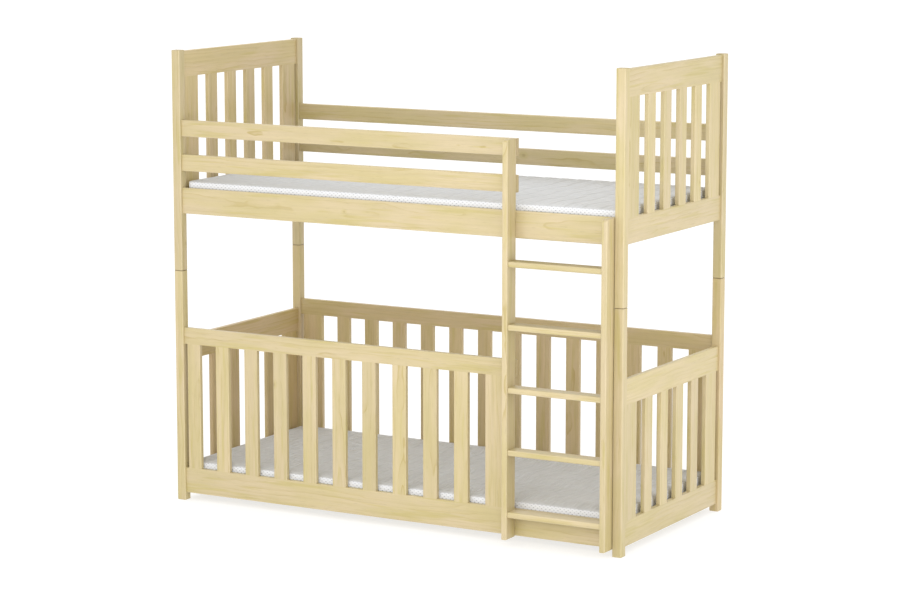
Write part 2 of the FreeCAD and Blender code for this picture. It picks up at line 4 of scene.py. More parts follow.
import bpy
import numpy as np
from mathutils import Euler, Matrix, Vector


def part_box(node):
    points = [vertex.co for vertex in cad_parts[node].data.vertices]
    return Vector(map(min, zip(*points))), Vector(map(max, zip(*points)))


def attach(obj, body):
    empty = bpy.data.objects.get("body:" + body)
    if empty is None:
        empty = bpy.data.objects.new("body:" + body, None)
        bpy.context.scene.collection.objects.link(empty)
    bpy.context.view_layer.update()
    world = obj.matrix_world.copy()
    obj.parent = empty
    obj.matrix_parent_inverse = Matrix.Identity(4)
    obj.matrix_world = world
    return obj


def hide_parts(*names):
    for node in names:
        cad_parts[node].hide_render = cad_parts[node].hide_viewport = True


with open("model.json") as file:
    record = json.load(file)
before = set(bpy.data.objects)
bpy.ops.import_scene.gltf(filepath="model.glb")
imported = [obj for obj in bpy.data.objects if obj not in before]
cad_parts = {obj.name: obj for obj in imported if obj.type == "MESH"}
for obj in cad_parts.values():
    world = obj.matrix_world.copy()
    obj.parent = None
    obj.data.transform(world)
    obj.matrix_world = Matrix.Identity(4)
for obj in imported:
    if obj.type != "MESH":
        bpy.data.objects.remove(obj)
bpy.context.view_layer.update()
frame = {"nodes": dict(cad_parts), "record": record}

# Looks for a pine bunk bed. Metres, +X towards the ladder end, -Y is the ladder side, +Z up.
nodes = frame["nodes"]
slotOf = {part["node"]: part["material_slot"] for part in frame["record"]["subparts"]}
dice = np.random.default_rng(7)
print("stage 1: frame loaded,", len(nodes), "nodes")


# Small helpers for node trees

def add(tree, kind, inputs=None, **settings):
    item = tree.nodes.new("ShaderNode" + kind)
    for key, value in settings.items():
        setattr(item, key, value)
    for key, value in (inputs or {}).items():
        if isinstance(value, bpy.types.NodeSocket):
            tree.links.new(value, item.inputs[key])
        else:
            item.inputs[key].default_value = value
    return item


def calc(tree, operation, *values):
    return add(tree, "Math", dict(enumerate(values)), operation=operation).outputs[0]


def times(tree, first, second):
    return calc(tree, "MULTIPLY", first, second)


def timesPlus(tree, value, factor, rest):
    return calc(tree, "MULTIPLY_ADD", value, factor, rest)


def ramp(tree, value, low, high, toLow=0.0, toHigh=1.0):
    # smooth step of value from low to high, mapped to toLow..toHigh
    inputs = {0: value, 1: low, 2: high, 3: toLow, 4: toHigh}
    return add(tree, "MapRange", inputs, interpolation_type="SMOOTHSTEP").outputs[0]


def blendColor(tree, share, first, second, mode="MIX"):
    item = add(tree, "Mix", data_type="RGBA", blend_type=mode)
    for index, value in ((0, share), (6, first), (7, second)):
        if isinstance(value, bpy.types.NodeSocket):
            tree.links.new(value, item.inputs[index])
        else:
            item.inputs[index].default_value = value if index == 0 else (*value, 1.0)
    return item.outputs[2]


def axes(tree, socket):
    return add(tree, "SeparateXYZ", {0: socket}).outputs[:]


def vector(tree, x, y, z):
    return add(tree, "CombineXYZ", {0: x, 1: y, 2: z}).outputs[0]


def noise(tree, place, scale, detail=2.0, roughness=0.5):
    inputs = {"Vector": place, "Scale": scale, "Detail": detail, "Roughness": roughness}
    return add(tree, "TexNoise", inputs).outputs


def hypotenuse(tree, first, second):
    # square root of the sum of the squares
    squares = [calc(tree, "POWER", value, 2.0) for value in (first, second)]
    return calc(tree, "SQRT", calc(tree, "ADD", *squares))


def newMaterial(name):
    material = bpy.data.materials.new(name)
    material.use_nodes = True
    material.node_tree.nodes.clear()
    return material, material.node_tree


def finishMaterial(tree, color, roughness, height, bumpDistance, bumpStrength, **fixed):
    inputs = {"Strength": bumpStrength, "Distance": bumpDistance, "Height": height}
    bump = add(tree, "Bump", inputs)
    shader = add(tree, "BsdfPrincipled", {"Normal": bump.outputs[0]})
    for socket, value in (("Base Color", color), ("Roughness", roughness)):
        tree.links.new(value, shader.inputs[socket])
    for key, value in fixed.items():
        shader.inputs[key.replace("_", " ")].default_value = value
    output = add(tree, "OutputMaterial")
    tree.links.new(shader.outputs[0], output.inputs[0])


# Pine: growth rings round a pith beside each board, with knots, streaks, fibres and a painted
# highlight on the rounded edges

pineLook = {
    "pale": (0.565, 0.462, 0.282),
    "warm": (0.520, 0.434, 0.222),
    "lateWood": (0.42, 0.325, 0.12),
    "resin": (0.46, 0.385, 0.13),
    "knot": (0.33, 0.23, 0.10),
    "knotHeart": (0.26, 0.17, 0.075),
    "endGrain": (0.46, 0.36, 0.20),
    # colour of the painted highlight on the rounded long edges
    "paintedEdgeHighlight": (0.70, 0.62, 0.44),
    "ringWidth": 0.0130,
    "ringShare": 0.95,
    "ringBroad": (0.25, 0.9, 0.28),       # soft part of the late wood: from, to, share
    "ringLine": (0.84, 0.95, 0.72),       # sharp part of the late wood: from, to, share
    "ringEnd": 0.955,
    "ringLeast": 0.3,                     # the faintest ring against the strongest
    "fade": (0.36, 0.62, 0.10),           # rings fade where this noise is low: from, to, least
    "pithSide": 0.075,
    "pithDepth": (0.012, 0.055),
    "pithTilt": 0.035,
    "slowSway": (0.04, 0.06),             # wander of the pith line, sideways and in depth
    "quickSway": 0.0145,
    "knotCells": 1.7,
    "knotRadius": (0.0035, 0.0075),
    "knotRim": (0.85, 1.05),
    "knotStretch": 0.8,
    "swellStretch": 0.3,                  # rings bend round a knot further along than across
    "swellFall": -0.55,
    "swellPush": 0.010,
    "haloReach": 3.4,                     # in knot radii
    "heartReach": 0.8,
    "seedRun": 9.0,                       # how far apart in the grain the boards are cut
    "seedRow": 3.0,
    "seedDepth": 31.0,
    "shares": {"resin": 0.5, "halo": 0.35, "knot": 0.34, "ends": 0.6, "edge": 0.28},
    "bands": {"tone": (0.3, 0.7), "resin": (0.56, 0.74), "pore": (0.60, 0.76),
              "ends": (0.6, 0.95), "edge": (0.12, 0.5), "edgeHighlightPatches": (0.25, 0.65, 0.4, 1.0)},
    # each pattern times the first number plus the second darkens or lightens the wood
    "shade": {"streak": (0.22, 0.89), "pore": (-0.10, 1.01), "fibre": (0.14, 0.93),
              "board": (0.10, 0.95)},
    "rough": {"streak": 0.10, "lateWood": -0.06, "ends": 0.2},
    "relief": {"fibre": 0.35, "lateWood": 0.5, "streak": 0.4, "knot": 0.3},
    # how quickly each pattern changes along, across and through the board
    "slow": (1.5, 6.0, 0.0),
    "quick": (7.5, 22.0, 22.0),
    "fadeMask": (6.5, 38.0, 0.0),
    "streak": (2.2, 120.0, 120.0),
    "fibre": (24.0, 1500.0, 1500.0),
    "resinPatch": (5.0, 75.0, 40.0),
    "tone": (3.6, 15.0, 15.0),
    "pore": (26.0, 330.0, 330.0),
    "roughness": 0.36,
    "bump": (0.00025, 0.5),
    "coat": 0.14,
    "coatRoughness": 0.28,
    "ior": 1.4,
}


def pineGroup(look):
    # Ring phase = distance to the pith line, swaying slowly along the board, over the ring width.
    # Late wood is the dark end of each ring. A knot pushes the rings outwards round itself.
    t = bpy.data.node_groups.new("pineGrain", "ShaderNodeTree")
    for name in ("Point", "Normal", "Seed"):
        t.interface.new_socket(name, in_out="INPUT", socket_type="NodeSocketVector")
    for name, kind in (("Color", "Color"), ("Roughness", "Float"), ("Height", "Float")):
        t.interface.new_socket(name, in_out="OUTPUT", socket_type="NodeSocket" + kind)
    source = t.nodes.new("NodeGroupInput")
    along, across, through = axes(t, source.outputs["Point"])
    seedA, seedB, seedC = axes(t, source.outputs["Seed"])
    run = timesPlus(t, seedA, look["seedRun"], along)

    def spot(key, acrossStart=0.0, throughStart=0.0):
        # place in a pattern drawn out along the board
        runScale, acrossScale, throughScale = look[key]
        return vector(t, times(t, run, runScale), timesPlus(t, across, acrossScale, acrossStart),
                      timesPlus(t, through, throughScale, throughStart))

    # knots: one point in each cell of a coarse grid, so few fall on a narrow board
    knotPlace = vector(t, run, timesPlus(t, seedB, look["seedRow"], across), 0.0)
    cell = add(t, "TexVoronoi", {"Vector": knotPlace, "Scale": look["knotCells"]},
               voronoi_dimensions="2D")
    offset = add(t, "VectorMath", {0: knotPlace, 1: cell.outputs["Position"]}, operation="SUBTRACT")
    knotAlong, knotAcross, unused = axes(t, offset.outputs[0])
    radius = ramp(t, axes(t, cell.outputs["Color"])[0], 0.0, 1.0, *look["knotRadius"])
    knotDistance = hypotenuse(t, times(t, knotAlong, look["knotStretch"]), knotAcross)
    knotShare = calc(t, "DIVIDE", knotDistance, radius)
    knot = ramp(t, knotShare, *look["knotRim"], 1.0, 0.0)
    longDistance = hypotenuse(t, times(t, knotAlong, look["swellStretch"]), knotAcross)
    swell = times(t, calc(t, "DIVIDE", longDistance, radius), look["swellFall"])
    swell = calc(t, "EXPONENT", swell)

    # the pith line, its tilt and its slow and quick sway
    slowStart = times(t, seedB, look["seedDepth"])
    slow = axes(t, noise(t, spot("slow", 0.0, slowStart), 1.0)["Color"])
    quick = axes(t, noise(t, spot("quick", 0.0, seedC), 1.0)["Color"])
    side = times(t, calc(t, "SUBTRACT", seedB, 0.5), 2.0 * look["pithSide"])
    tilt = times(t, calc(t, "SUBTRACT", seedA, 0.5), look["pithTilt"])
    depth = timesPlus(t, tilt, along, ramp(t, seedC, 0.0, 1.0, *look["pithDepth"]))
    sideSway, depthSway = (timesPlus(t, slow[index], sway, -sway / 2)
                           for index, sway in enumerate(look["slowSway"]))
    sideways = calc(t, "ADD", calc(t, "SUBTRACT", across, side), sideSway)
    inwards = calc(t, "ADD", calc(t, "SUBTRACT", through, depth), depthSway)
    distance = hypotenuse(t, sideways, inwards)
    distance = timesPlus(t, quick[0], look["quickSway"], distance)
    distance = timesPlus(t, swell, look["swellPush"], distance)

    # late wood: a soft part and a sharp line, ring by ring of its own strength, fading in places
    phase = calc(t, "DIVIDE", distance, look["ringWidth"])
    within = calc(t, "FRACT", phase)
    broadFrom, broadTo, broadShare = look["ringBroad"]
    lineFrom, lineTo, lineShare = look["ringLine"]
    broad = times(t, ramp(t, within, broadFrom, broadTo), broadShare)
    line = timesPlus(t, ramp(t, within, lineFrom, lineTo), lineShare, broad)
    lateWood = times(t, line, ramp(t, within, look["ringEnd"], 1.0, 1.0, 0.0))
    ringNumber = calc(t, "ADD", calc(t, "FLOOR", phase), seedC)
    ringDice = add(t, "TexWhiteNoise", {"W": ringNumber}, noise_dimensions="1D").outputs[0]
    least = look["ringLeast"]
    lateWood = times(t, lateWood, timesPlus(t, ringDice, 1.0 - least, least))
    fade = noise(t, spot("fadeMask", seedC, seedA), 1.0)["Fac"]
    fadeFrom, fadeTo, fadeLeast = look["fade"]
    lateWood = times(t, lateWood, ramp(t, fade, fadeFrom, fadeTo, fadeLeast, 1.0))

    # streaks, fibres, pores and resin, all drawn out along the board
    streak = noise(t, spot("streak"), 1.0, 3.0, 0.6)["Fac"]
    fibre = noise(t, spot("fibre"), 1.0)["Fac"]
    bands = look["bands"]
    resin = noise(t, spot("resinPatch", 0.0, 5.0), 1.0, 1.0)["Fac"]
    resin = ramp(t, resin, *bands["resin"])
    tone = noise(t, spot("tone", seedA, seedB), 1.0, 2.0, 0.6)["Fac"]
    pore = ramp(t, noise(t, spot("pore"), 1.0, 1.0)["Fac"], *bands["pore"])

    shares = look["shares"]
    color = blendColor(t, ramp(t, tone, *bands["tone"]), look["pale"], look["warm"])
    color = blendColor(t, times(t, lateWood, look["ringShare"]), color, look["lateWood"])
    color = blendColor(t, times(t, resin, shares["resin"]), color, look["resin"])
    halo = times(t, ramp(t, knotShare, 1.0, look["haloReach"], 1.0, 0.0), shares["halo"])
    color = blendColor(t, halo, color, look["resin"])
    heart = ramp(t, knotShare, 0.0, look["heartReach"], 1.0, 0.0)
    heart = blendColor(t, heart, look["knot"], look["knotHeart"])
    color = blendColor(t, times(t, knot, shares["knot"]), color, heart)

    # ends of boards drink in more lacquer; the rounded long edges get a painted highlight
    normal = axes(t, source.outputs["Normal"])
    ends = ramp(t, calc(t, "ABSOLUTE", normal[0]), *bands["ends"])
    color = blendColor(t, times(t, ends, shares["ends"]), color, look["endGrain"])
    # painted highlight where the normal leans between the two side directions, broken up along the
    # streaks
    edge = times(t, calc(t, "ABSOLUTE", normal[1]), calc(t, "ABSOLUTE", normal[2]))
    edge = times(t, ramp(t, edge, *bands["edge"]), ramp(t, streak, *bands["edgeHighlightPatches"]))
    color = blendColor(t, times(t, edge, shares["edge"]), color, look["paintedEdgeHighlight"])
    shade = timesPlus(t, streak, *look["shade"]["streak"])
    for key, pattern in (("pore", pore), ("fibre", fibre), ("board", seedA)):
        shade = times(t, shade, timesPlus(t, pattern, *look["shade"][key]))
    color = blendColor(t, 1.0, color, vector(t, shade, shade, shade), "MULTIPLY")

    roughness = look["roughness"]
    for key, pattern in (("streak", streak), ("lateWood", lateWood), ("ends", ends)):
        roughness = timesPlus(t, pattern, look["rough"][key], roughness)
    height = times(t, fibre, look["relief"]["fibre"])
    for key, pattern in (("lateWood", lateWood), ("streak", streak), ("knot", knot)):
        height = timesPlus(t, pattern, look["relief"][key], height)
    output = t.nodes.new("NodeGroupOutput")
    for name, value in (("Color", color), ("Roughness", roughness), ("Height", height)):
        t.links.new(value, output.inputs[name])
    return t


boardLook = {
    "smallestGap": 0.03,                  # between two boards of a row
    "rowSpread": 50,                      # how far apart the chances of two rows lie
    "jointShade": (0.20, 0.14, 0.07),
    "jointWidth": (0.0007, 0.0023),       # half of the line where two posts meet
    "jointShare": 0.8,
    "rungEndShade": (0.0004, 0.0030),         # painted contact shade where a rung meets a stile, from the end of a rung
    "rungEndShadeShare": 0.45,
    # painted warm shade: parts that are seen in shade are darkened and reddened all over
    "paintedShadeTint": (1.03, 0.925, 0.84),
    "paintedShadeTintShare": {"lower_left_end": 0.65, "upper_left_end": 0.35, "lower_back": 0.42,
                    "lower_post_back": 0.4},
}
# grain direction, wide direction and the direction of the row, as axis numbers
rowAxes = {"barrier_slats": (2, 0, 0), "lower_back_slats": (2, 0, 0),
           "lower_bed_slats": (1, 0, 0), "upper_bed_slats": (1, 0, 0)}
endRowAxes = (2, 1, 1)


def readPoints(mesh):
    points = np.empty(len(mesh.vertices) * 3, dtype=np.float32)
    mesh.vertices.foreach_get("co", points)
    return points.reshape(-1, 3)


def rowSides(node, axis):
    # low and high side of each board of a row, from the gaps between its points along an axis
    places = np.unique(readPoints(node.data)[:, axis])
    breaks = np.flatnonzero(np.diff(places) > boardLook["smallestGap"])
    return places[np.r_[0, breaks + 1]], places[np.r_[breaks, len(places) - 1]]


def pineMaterial(name, grainAxis, wideAxis, group, rowAxis=None):
    # Point is the place in the board's own directions: along the grain, across the face, through.
    material, t = newMaterial("pine_" + name)
    low, high = (np.array(corner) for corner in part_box(name))
    centre = (low + high) / 2
    order = (grainAxis, wideAxis, 3 - grainAxis - wideAxis)
    place = add(t, "TexCoord")
    object3 = axes(t, place.outputs["Object"])
    normal3 = axes(t, place.outputs["Normal"])
    point = [calc(t, "SUBTRACT", object3[axis], float(centre[axis])) for axis in order]
    seed = dice.random(3)
    if rowAxis is None:
        seedSocket = vector(t, *map(float, seed))
    else:
        starts, stops = rowSides(nodes[name], rowAxis)
        pitch = float(starts[2] - starts[1])
        gap = float(starts[2] - stops[1])
        begin = float(starts[1]) - gap / 2 - pitch
        step = calc(t, "DIVIDE", calc(t, "SUBTRACT", object3[rowAxis], begin), pitch)
        number = calc(t, "MINIMUM", calc(t, "FLOOR", step), float(len(starts) - 1))
        boardNumber = calc(t, "ADD", number, float(seed[0] * boardLook["rowSpread"]))
        boardDice = add(t, "TexWhiteNoise", {"W": boardNumber}, noise_dimensions="1D")
        seedSocket = boardDice.outputs["Color"]
        middle = timesPlus(t, number, pitch, begin + pitch / 2)
        point[order.index(rowAxis)] = calc(t, "SUBTRACT", object3[rowAxis], middle)
    grain = t.nodes.new("ShaderNodeGroup")
    grain.node_tree = group
    t.links.new(vector(t, *point), grain.inputs["Point"])
    t.links.new(vector(t, *[normal3[axis] for axis in order]), grain.inputs["Normal"])
    t.links.new(seedSocket, grain.inputs["Seed"])
    color = grain.outputs["Color"]
    # painted warm shade on the left ends, the back panel and the back posts
    for start, share in boardLook["paintedShadeTintShare"].items():
        if name.startswith(start):
            color = blendColor(t, share, color, boardLook["paintedShadeTint"], "MULTIPLY")
    # painted shade in the seam where the lower and upper posts meet
    if "_post_" in name:
        meeting = float(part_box("lower_post_front_left")[1][2])
        away = calc(t, "ABSOLUTE", calc(t, "SUBTRACT", object3[2], meeting))
        line = ramp(t, away, *boardLook["jointWidth"], 1.0, 0.0)
        line = times(t, line, boardLook["jointShare"])
        color = blendColor(t, line, color, boardLook["jointShade"])
    # painted contact shade at both ends of each rung, where it meets the stiles
    if name.startswith("rung_"):
        reach = calc(t, "ABSOLUTE", point[0])
        half = float(high[grainAxis] - low[grainAxis]) / 2
        near, far = boardLook["rungEndShade"]
        line = times(t, ramp(t, reach, half - far, half - near), boardLook["rungEndShadeShare"])
        color = blendColor(t, line, color, boardLook["jointShade"])
    coat = 0.0 if slotOf[name] == "support_pine" else pineLook["coat"]
    finishMaterial(t, color, grain.outputs["Roughness"], grain.outputs["Height"],
                   *pineLook["bump"], Coat_Weight=coat,
                   Coat_Roughness=pineLook["coatRoughness"], IOR=pineLook["ior"])
    return material


def dressWood():
    # the longest side is the grain direction of a single board; rows name theirs
    group = pineGroup(pineLook)
    for name, node in nodes.items():
        if "pine" not in slotOf[name]:
            continue
        if name in rowAxes or name.endswith("end_slats"):
            grainAxis, wideAxis, rowAxis = rowAxes.get(name, endRowAxes)
        else:
            low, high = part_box(name)
            sides = [high[axis] - low[axis] for axis in range(3)]
            thinAxis, wideAxis, grainAxis = sorted(range(3), key=lambda axis: sides[axis])
            rowAxis = None
        material = pineMaterial(name, grainAxis, wideAxis, group, rowAxis)
        node.material_slots[0].material = material


dressWood()
print("stage 2: pine on the boards")


# Hardware and dowels, mostly hidden inside the joints

hardwareLook = {
    "zinc": (0.62, 0.64, 0.67),
    "zincTint": (0.70, 0.68, 0.60),
    "zincCloud": 180.0,
    "zincScratch": 2600.0,
    "zincBump": (0.00005, 0.4),
    "beech": (0.60, 0.42, 0.25),
    "beechPore": (0.44, 0.28, 0.15),
    "beechFleck": 900.0,
    "beechBump": (0.0001, 0.5),
}


def zincMaterial(look):
    material, t = newMaterial("zincPlate")
    place = add(t, "TexCoord").outputs["Object"]
    cloud = noise(t, place, look["zincCloud"], 3.0)["Fac"]
    scratch = noise(t, place, look["zincScratch"])["Fac"]
    color = blendColor(t, ramp(t, cloud, 0.35, 0.7), look["zinc"], look["zincTint"])
    roughness = timesPlus(t, scratch, 0.25, 0.22)
    finishMaterial(t, color, roughness, scratch, *look["zincBump"], Metallic=1.0)
    return material


def beechMaterial(look):
    material, t = newMaterial("beechDowel")
    place = add(t, "TexCoord").outputs["Object"]
    fleck = noise(t, place, look["beechFleck"], 3.0)["Fac"]
    color = blendColor(t, ramp(t, fleck, 0.5, 0.7), look["beech"], look["beechPore"])
    roughness = timesPlus(t, fleck, 0.2, 0.5)
    finishMaterial(t, color, roughness, fleck, *look["beechBump"])
    return material


hardware = {"zinc_steel": zincMaterial(hardwareLook), "beech_dowel": beechMaterial(hardwareLook)}
for name, node in nodes.items():
    if slotOf[name] in hardware:
        node.material_slots[0].material = hardware[slotOf[name]]
print("stage 3: hardware")


# Mattresses: a quilted cover over foam, sewn in wavy lines across, with a mesh border

mattressLook = {
    "inset": 0.0025,                      # the cover starts this much inside the space and swells
    "quiltPitch": 0.070,
    "columnsPerQuilt": 8,
    "rowStep": 0.020,
    "borderSteps": 8,
    "waveHeight": 0.008,
    "waveLength": 0.27,
    "waveTurn": 5.0,                      # how far the wave runs on from one end to the other
    "waveFade": 12,                       # the waves die out over 1/12 of the length
    "cornerRadius": 0.014,
    "edgeRadius": 0.006,
    "edgeDrop": 0.45,
    "stitchDepth": 0.0035,
    "pressure": 4.0,
    "steps": 20,
    "clothMass": 0.15,
    "clothStiffness": 12,
    "clothBending": 0.3,
    "clothQuality": 4,
    "topCap": 0.0050,                     # the most that the cloth may swell
    "sideCap": 0.0020,
    "ribPitch": 0.0175,
    "ribHeight": 0.0012,
    "ribFade": (0.010, 0.02),             # plain rim, and the width over which ribs rise
    "foamFill": 0.9,
}
lowerLow, lowerHigh = (np.array(corner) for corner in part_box("lower_mattress"))
upperLow, upperHigh = (np.array(corner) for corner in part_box("upper_mattress"))


def latticeSides(counts):
    # Corners of every quad on the six sides of a block of counts[0] x counts[1] x counts[2]
    # cells, as whole-number places, turned so that each quad faces outwards.
    quads = []
    for axis in range(3):
        first, second = (axis + 1) % 3, (axis + 2) % 3
        i, j = np.meshgrid(np.arange(counts[first]), np.arange(counts[second]), indexing="ij")
        for high in (False, True):
            corners = [(0, 0), (1, 0), (1, 1), (0, 1)] if high else [(0, 0), (0, 1), (1, 1), (1, 0)]
            quad = np.empty((i.size, 4, 3), dtype=np.int64)
            for corner, (di, dj) in enumerate(corners):
                quad[:, corner, first] = i.ravel() + di
                quad[:, corner, second] = j.ravel() + dj
                quad[:, corner, axis] = counts[axis] if high else 0
            quads.append((axis, quad))
    return quads


def rimDistance(points, low, high):
    # distance of each point to the nearest of the four upright sides
    return np.minimum(np.minimum(points[:, 0] - low[0], high[0] - points[:, 0]),
                      np.minimum(points[:, 1] - low[1], high[1] - points[:, 1]))


def waveLean(look, y, share):
    # sine of the place across, running on along the mattress
    turn = 2 * np.pi * y / look["waveLength"] + look["waveTurn"] * share
    return look["waveHeight"] * np.sin(turn)


def mattressStart(look, low, high):
    # A block of cloth on a lattice. Columns of the top lean into a sine wave along the lines of
    # stitching. The upright corners and the long edges are rounded by pushing each point that
    # lies outside the inner block to one radius from it.
    inset = look["inset"]
    low = low + (inset, inset, 0)
    high = high - (inset, inset, 0)
    size = high - low
    counts = (int(round(size[0] / look["quiltPitch"])) * look["columnsPerQuilt"],
              int(round(size[1] / look["rowStep"])), look["borderSteps"])
    sides = latticeSides(counts)
    places = np.concatenate([quad.reshape(-1, 3) for axis, quad in sides])
    points, inverse = np.unique(places, axis=0, return_inverse=True)
    faces = inverse.reshape(-1, 4)
    share = points / np.array(counts)
    flat = low + share * size
    fade = np.minimum(share[:, 0], 1 - share[:, 0]) * look["waveFade"]
    fade = np.clip(fade, 0, 1)
    fade = fade * fade * (3 - 2 * fade)
    shaped = flat.copy()
    shaped[:, 0] += waveLean(look, flat[:, 1], share[:, 0]) * fade
    corner = look["cornerRadius"]
    inner = np.clip(shaped[:, :2], low[:2] + corner, high[:2] - corner)
    outward = shaped[:, :2] - inner
    length = np.linalg.norm(outward, axis=1)
    squareReach = np.maximum(np.abs(outward).max(axis=1), 1e-9)
    pull = np.where(length > 0, squareReach / np.maximum(length, 1e-9), 1.0)
    shaped[:, :2] = inner + outward * pull[:, None]
    edge = look["edgeRadius"]
    isTop = points[:, 2] == counts[2]
    depth = np.clip(edge - (high[2] - shaped[:, 2]), 0, None)
    topDrop = np.clip(1 - rimDistance(shaped, low, high) / edge, 0, 1) ** 2 * edge
    shaped[:, 2] -= np.where(isTop, topDrop, depth) * look["edgeDrop"]

    # the map of the cloth is in metres, and the border is the second material
    uv = np.empty((len(faces), 4, 2))
    border = np.zeros(len(faces), dtype=np.int32)
    offset = 0
    for axis, quad in sides:
        span = slice(offset, offset + len(quad))
        uv[span] = flat[faces[span]][:, :, :2] if axis == 2 else flat[faces[span]][:, :, [1 - axis, 2]]
        border[span] = axis != 2
        offset += len(quad)
    isRim = ((points[:, :2] == 0) | (points[:, :2] == counts[:2])).any(axis=1)
    stitched = isTop & (points[:, 0] % look["columnsPerQuilt"] == 0)
    shaped[stitched & ~isRim, 2] -= look["stitchDepth"]
    held = stitched | (isTop & isRim) | (points[:, 2] == 0)
    return shaped, faces, uv, border, held


def meshFromArrays(name, points, faces, uv, border, materials):
    mesh = bpy.data.meshes.new(name)
    mesh.from_pydata(points.tolist(), [], faces.tolist())
    layer = mesh.uv_layers.new(name="cloth")
    layer.data.foreach_set("uv", uv.reshape(-1).astype(np.float32))
    for material in materials:
        mesh.materials.append(material)
    mesh.polygons.foreach_set("material_index", border)
    mesh.polygons.foreach_set("use_smooth", np.ones(len(faces), dtype=bool))
    mesh.update()
    piece = bpy.data.objects.new(name, mesh)
    bpy.context.scene.collection.objects.link(piece)
    return piece


def writePoints(mesh, points):
    mesh.vertices.foreach_set("co", points.astype(np.float32).reshape(-1))
    mesh.update()


def inflate(piece, look, held, start):
    # cloth with air pressure, held along the stitching, the rim and the underside
    group = piece.vertex_groups.new(name="sewn")
    group.add(np.flatnonzero(held).tolist(), 1.0, "REPLACE")
    cloth = piece.modifiers.new("Cloth", "CLOTH")
    cloth.settings.quality = look["clothQuality"]
    cloth.settings.mass = look["clothMass"]
    cloth.settings.tension_stiffness = look["clothStiffness"]
    cloth.settings.compression_stiffness = look["clothStiffness"]
    cloth.settings.bending_stiffness = look["clothBending"]
    cloth.settings.vertex_group_mass = "sewn"
    cloth.settings.use_pressure = True
    cloth.settings.uniform_pressure_force = look["pressure"]
    cloth.settings.effector_weights.gravity = 0
    cloth.collision_settings.use_collision = False
    cloth.point_cache.frame_start = 1
    cloth.point_cache.frame_end = look["steps"]
    for step in range(1, look["steps"] + 1):
        bpy.context.scene.frame_set(step)
    dressed = piece.evaluated_get(bpy.context.evaluated_depsgraph_get())
    swollen = readPoints(dressed.data).astype(np.float64)
    piece.modifiers.clear()
    piece.vertex_groups.clear()
    bpy.context.scene.frame_set(1)
    cap = np.array([look["sideCap"], look["sideCap"], look["topCap"]])
    return start + np.clip(swollen - start, -cap, cap)


def subdivide(piece):
    smooth = piece.modifiers.new("Smooth", "SUBSURF")
    smooth.levels = 1
    smooth.render_levels = 1
    dressed = piece.evaluated_get(bpy.context.evaluated_depsgraph_get())
    finer = bpy.data.meshes.new_from_object(dressed)
    finer.name = piece.data.name
    piece.modifiers.clear()
    piece.data = finer


def ribs(points, look, low, high):
    # fine ribs across the top: a sine of the place along the mattress, fading out at the rim
    plain, rise = look["ribFade"]
    fade = np.clip((rimDistance(points, low, high) - plain) / rise, 0, 1)
    fade = fade * (points[:, 2] > (low[2] + high[2]) / 2)
    lean = waveLean(look, points[:, 1], (points[:, 0] - low[0]) / (high[0] - low[0]))
    turn = 2 * np.pi * (points[:, 0] - lean) / look["ribPitch"]
    points[:, 2] += fade * look["ribHeight"] * np.sin(turn)
    return points


coverLook = {
    "cloth": (0.620, 0.627, 0.633),
    "clothShade": (0.590, 0.597, 0.604),
    # grey of the painted shade in the quilting grooves, the rib troughs and the knit rows
    "thread": (0.50, 0.50, 0.51),
    "threadWidth": (0.0004, 0.0012),
    "threadStep": 0.0045,
    "threadGap": 0.3,                     # share of each stitch that is a gap
    "grooveWidth": 0.0045,
    "shares": {"groove": 0.22, "rib": 0.08, "knit": 0.14, "thread": 0.6, "fuzz": 0.3},
    "topClouds": 26.0,
    "topFuzz": 1400.0,
    "topRough": (0.12, 0.82),
    "topRelief": {"rib": 0.35, "knit": 0.12, "fuzz": 0.15, "groove": -0.6, "thread": 0.35},
    "topBump": (0.0012, 0.6),
    "topSheen": (0.25, 0.5),
    "meshShade": (0.705, 0.718, 0.742),
    "mesh": (0.795, 0.808, 0.834),
    "hole": (0.27, 0.28, 0.31),
    "holeShare": (0.36, 0.40),            # least, and how much more by chance
    "holePitch": 0.0165,
    "holeRow": 0.0072,
    "holeStretch": 2.2,
    "holeRadius": (0.0009, 0.0018),
    "borderFuzz": 900.0,
    "borderRough": (0.15, 0.75),
    "borderRelief": {"fuzz": 0.3, "hole": -1.0},
    "borderBump": (0.0009, 0.8),
    "borderSheen": (0.2, 0.4),
    "knitWidth": 0.0016,
}


